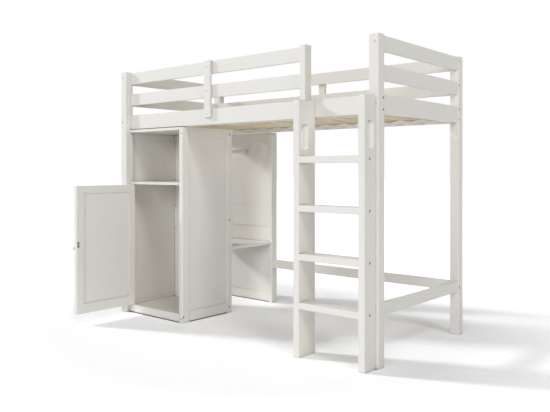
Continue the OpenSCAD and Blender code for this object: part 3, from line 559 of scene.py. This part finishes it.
class LOFTBED_OT_hardware(bpy.types.Operator):
    """Gives the bolts, nuts, hinges, knob and catch their metal and plastic"""
    bl_idname = "loftbed.hardware"
    bl_label = "Finish the hardware"

    def execute(self, context):
        dress(nodes_with("steel"), steel("satin_steel"))
        dress(nodes_with("bolts"), bolt_steel())
        dress(nodes_with("dark_steel"), steel("dark_steel"))
        dress(nodes_with("dark_plastic"), dark_plastic())
        return {"FINISHED"}


def smooth_line(points, steps):
    """A curve through the points: between each two, the cubic that also follows their neighbours."""
    points = np.array(points, float)
    ends = np.vstack([2 * points[0] - points[1], points, 2 * points[-1] - points[-2]])
    before, first, second, after = ends[:-3, None], ends[1:-2, None], ends[2:-1, None], ends[3:, None]
    part = np.linspace(0, 1, steps, endpoint=False)[None, :, None]
    curve = 0.5 * (2 * first + (second - before) * part
                   + (2 * before - 5 * first + 4 * second - after) * part ** 2
                   + (3 * first - before - 3 * second + after) * part ** 3)
    return np.vstack([curve.reshape(-1, 2), points[-1:]])


def turned_mesh(name, seats, axis, profile, sides, cut=None):
    """Turns the profile of (height, radius) round the axis at each seat; both ends close in one point.
    A point is seat + height * axis + radius * (cosine * across + sine * beside); cut lowers the height."""
    axis = np.array(axis, float)
    upright = abs(axis[2]) > 0.5
    across = np.cross(axis, (1, 0, 0) if upright else (0, 0, 1))
    beside = np.cross(axis, across)
    height, radius = np.array(profile, float).T
    turn = np.arange(sides) * 2 * np.pi / sides
    rise = np.repeat(height[:, None], sides, 1)
    if cut is not None:
        rise = rise - cut(height[:, None], radius[:, None], turn[None])
    ring = np.cos(turn)[:, None] * across + np.sin(turn)[:, None] * beside
    grid = rise[..., None] * axis + radius[:, None, None] * ring
    one = np.vstack([grid[:1, 0], grid[1:-1].reshape(-1, 3), grid[-1:, 0]])
    here = np.arange(sides)
    after = (here + 1) % sides
    row = 1 + np.arange(len(height) - 3)[:, None] * sides
    quads = np.stack([row + here, row + after, row + sides + after, row + sides + here], -1).reshape(-1, 4)
    last = len(one) - 1
    top = last - sides
    fans = np.vstack([np.stack([here * 0, 1 + after, 1 + here], -1),
                      np.stack([here * 0 + last, top + here, top + after], -1)])
    seats = np.array(seats, float)
    points = (seats[:, None] + one).reshape(-1, 3)
    shift = np.arange(len(seats))[:, None, None] * len(one)
    faces = (quads + shift).reshape(-1, 4).tolist() + (fans + shift).reshape(-1, 3).tolist()
    mesh = bpy.data.meshes.new(name)
    mesh.from_pydata(points.tolist(), [], faces)
    mesh.shade_smooth()
    return mesh


def screw_mesh(name, seats, axis, radius, height):
    """Low domed screw heads with a cross cut. The dome's height over its seat is
    height * (1 - fall * share squared), where share is the share of the radius."""
    share = np.array(DOME_RINGS)
    dome = np.column_stack([height * (1 - DOME_FALL * share ** 2), radius * share])
    profile = np.vstack([(0, 0), (0, radius), dome, (height, 0)])

    def cross(rise, reach, turn):
        """Depth of the cross: a share of the height where a point is near one of two lines and inside."""
        near = np.minimum(abs(np.cos(turn)), abs(np.sin(turn))) * reach < CROSS_HALF_WIDTH * radius
        return np.where(near & (reach < CROSS_REACH * radius) & (rise > 0), CROSS_DEPTH * height, 0.0)

    return turned_mesh(name, seats, axis, profile, SCREW_SIDES, cross)


def plane_mesh(name, low, high, z):
    """A level rectangle between two corners."""
    points = [(low[0], low[1], z), (high[0], low[1], z), (high[0], high[1], z), (low[0], high[1], z)]
    mesh = bpy.data.meshes.new(name)
    mesh.from_pydata(points, [], [(0, 1, 2, 3)])
    return mesh


def fitting(name, mesh, material, body):
    """Puts a new piece in the scene, on its body and with its slot."""
    piece = bpy.data.objects.new(name, mesh)
    mesh.materials.append(material)
    bpy.context.scene.collection.objects.link(piece)
    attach(piece, body)
    return piece


class LOFTBED_OT_knob(bpy.types.Operator):
    """Turns the door's knob: a flared foot, a thin neck and a domed head"""
    bl_idname = "loftbed.knob"
    bl_label = "Turn the knob"

    def execute(self, context):
        fittings = settings("fittings")
        seat = (KNOB_HIGH[0], *middle(KNOB_LOW, KNOB_HIGH)[1:])
        curve = smooth_line(KNOB_OUTLINE, KNOB_STEPS)
        profile = np.vstack([(0, 0), curve, (1, 0)]) * (fittings.knob_reach, fittings.knob_radius)
        mesh = turned_mesh("knob_turned", [seat], (-1, 0, 0), profile, KNOB_SIDES)
        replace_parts(fitting("knob_turned", mesh, steel("knob_steel"), "door"), "door_knob")
        return {"FINISHED"}


def slat_middles():
    """Middle of each slat along the bed: halfway between the two long edges that the mesh has for it."""
    mesh = frame["nodes"]["slats"].data
    points = np.empty(len(mesh.vertices) * 3)
    mesh.vertices.foreach_get("co", points)
    along = np.sort(points.reshape(-1, 3)[:, 0])
    wide = np.flatnonzero(np.diff(along) > SLAT_STEP)
    middles = (along[wide] + along[wide + 1]) / 2
    return middles[::2].tolist()


class LOFTBED_OT_screws(bpy.types.Operator):
    """Sets the screw heads on the slats' ends, the rod's sockets and the catch's plate"""
    bl_idname = "loftbed.screws"
    bl_label = "Set the screws"

    def execute(self, context):
        fittings = settings("fittings")
        metal = steel("screw_steel")
        small, height = fittings.small_screw_radius, fittings.screw_height
        slats = slat_middles()
        low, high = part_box("slats")
        rows = (low[1] + SLAT_SCREW_INSET, high[1] - SLAT_SCREW_INSET)
        seats = [(x, y, high[2]) for y in rows for x in slats]
        mesh = screw_mesh("slat_screws", seats, (0, 0, 1), fittings.slat_screw_radius, height)
        fitting("slat_screws", mesh, metal, "frame")
        low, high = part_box("clothes_rod_sockets")
        x, _, z = middle(low, high)
        for name, y, facing in (("socket_screws_front", low[1] + SOCKET_FLANGE, 1),
                                ("socket_screws_back", high[1] - SOCKET_FLANGE, -1)):
            seats = [(x, y, z - SOCKET_SCREW_REACH), (x, y, z + SOCKET_SCREW_REACH)]
            mesh = screw_mesh(name, seats, (0, facing, 0), small, height)
            fitting(name, mesh, metal, "frame")
        low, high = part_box("door_strike")
        seat = (high[0], *middle(low, high)[1:])
        radius = STRIKE_SCREW_TIMES * small
        mesh = screw_mesh("strike_screw", [seat], (1, 0, 0), radius, fittings.flat_height)
        fitting("strike_screw", mesh, metal, "door")
        return {"FINISHED"}


class LOFTBED_OT_stage(bpy.types.Operator):
    """Makes the floor, the light and the camera"""
    bl_idname = "loftbed.stage"
    bl_label = "Set the stage"

    def execute(self, context):
        stage = settings("stage")
        mesh = plane_mesh("studio_floor", (-FLOOR_REACH, -FLOOR_REACH), (FLOOR_REACH, FLOOR_REACH), 0.0)
        mesh.materials.append(floor_material(stage.floor_colour, stage.floor_glow, stage.far_glow))
        floor = bpy.data.objects.new("studio_floor", mesh)
        context.scene.collection.objects.link(floor)
        self.lamps(context, stage, floor)
        self.world(context, stage)
        self.camera(context, stage)
        context.scene.view_settings.view_transform = "Standard"
        return {"FINISHED"}

    def lamp(self, context, name, strength, colour, direction, receiver=None):
        """A distant lamp that lights the receiver, or everything. Its direction holds azimuth, elevation and
        size; the light travels along the azimuth and down."""
        azimuth, elevation, size = direction
        data = bpy.data.lights.new(name, "SUN")
        data.energy = strength
        data.angle = size
        data.color = colour
        lamp = bpy.data.objects.new(name, data)
        lamp.rotation_euler = (0, math.radians(90) - elevation, azimuth + math.pi)
        context.scene.collection.objects.link(lamp)
        if receiver is not None:
            lit = bpy.data.collections.new(name + "_lit")
            lit.objects.link(receiver)
            lamp.light_linking.receiver_collection = lit

    def lamps(self, context, stage, floor):
        """Key, front, side and steep lamp for everything, and two lamps for the floor alone."""
        key = (stage.key_azimuth, stage.key_elevation, stage.key_size)
        front = tuple(map(math.radians, FRONT_LAMP))
        side = tuple(map(math.radians, SIDE_LAMP))
        steep = tuple(map(math.radians, STEEP_LAMP))
        top = tuple(map(math.radians, TOP_LAMP))
        self.lamp(context, "key", stage.key_strength, stage.light_colour, key)
        self.lamp(context, "front", stage.front_strength, stage.light_colour, front)
        self.lamp(context, "side", stage.side_strength, WHITE, side)
        self.lamp(context, "steep", stage.steep_strength, WHITE, steep)
        self.lamp(context, "floor_key", stage.floor_key_strength, WHITE, key, floor)
        self.lamp(context, "floor_top", stage.floor_top_strength, WHITE, top, floor)

    def world(self, context, stage):
        """Even light from all round, with a white backdrop where the world is seen directly."""
        world = bpy.data.worlds.new("studio")
        context.scene.world = world
        world.use_nodes = True
        tree = world.node_tree
        tree.nodes.clear()
        fill = add_node(tree, "Background", {"Color": FILL_COLOUR, "Strength": stage.fill_strength})
        backdrop = add_node(tree, "Background", {"Color": WHITE, "Strength": 1.0})
        inputs = {0: seen_directly(tree), 1: fill.outputs[0], 2: backdrop.outputs[0]}
        mix = add_node(tree, "MixShader", inputs)
        add_node(tree, "OutputWorld", {"Surface": mix.outputs[0]})

    def camera(self, context, stage):
        """A level camera whose lens is shifted to the photograph's horizon and axis."""
        data = bpy.data.cameras.new("camera")
        data.sensor_fit = "HORIZONTAL"
        data.sensor_width = SENSOR_WIDTH
        data.lens = stage.focal / IMAGE_W * SENSOR_WIDTH
        data.shift_x = (IMAGE_W / 2 - stage.centre_u) / IMAGE_W
        data.shift_y = (stage.horizon_v - IMAGE_H / 2) / IMAGE_W
        data.clip_end = FAR_CLIP
        camera = bpy.data.objects.new("camera", data)
        camera.location = (stage.camera_x, stage.camera_y, stage.height)
        camera.rotation_euler = (math.radians(90), 0, stage.yaw)
        context.scene.collection.objects.link(camera)
        context.scene.camera = camera


class LOFTBED_PT_panel(bpy.types.Panel):
    """Sizes, colours and steps of the loft bed"""
    bl_idname = "LOFTBED_PT_panel"
    bl_label = "Loft bed"
    bl_space_type = "VIEW_3D"
    bl_region_type = "UI"
    bl_category = "Loft bed"

    def draw(self, context):
        layout = self.layout
        for name in GROUPS:
            box = layout.box()
            group = settings(name)
            for prop in group.bl_rna.properties:
                if prop.identifier not in ("rna_type", "name"):
                    box.prop(group, prop.identifier)
        for operator in OPERATORS:
            layout.operator(operator.bl_idname)


GROUPS = {"paint": LoftBedPaint, "pine": LoftBedPine, "fittings": LoftBedFittings, "stage": LoftBedStage}
OPERATORS = (LOFTBED_OT_paint, LOFTBED_OT_hardware, LOFTBED_OT_knob, LOFTBED_OT_screws, LOFTBED_OT_stage)


def register():
    """Adds the property groups, the operators and the panel."""
    for name, group in GROUPS.items():
        bpy.utils.register_class(group)
        setattr(bpy.types.Scene, "loft_bed_" + name, bpy.props.PointerProperty(type=group))
    for operator in OPERATORS:
        bpy.utils.register_class(operator)
    bpy.utils.register_class(LOFTBED_PT_panel)


def unregister():
    """Takes away what register added."""
    bpy.utils.unregister_class(LOFTBED_PT_panel)
    for operator in reversed(OPERATORS):
        bpy.utils.unregister_class(operator)
    for name, group in GROUPS.items():
        delattr(bpy.types.Scene, "loft_bed_" + name)
        bpy.utils.unregister_class(group)


def main():
    register()
    bpy.ops.loftbed.paint()
    bpy.ops.loftbed.hardware()
    bpy.ops.loftbed.knob()
    bpy.ops.loftbed.screws()
    bpy.ops.loftbed.stage()


if __name__ == "__main__":
    main()
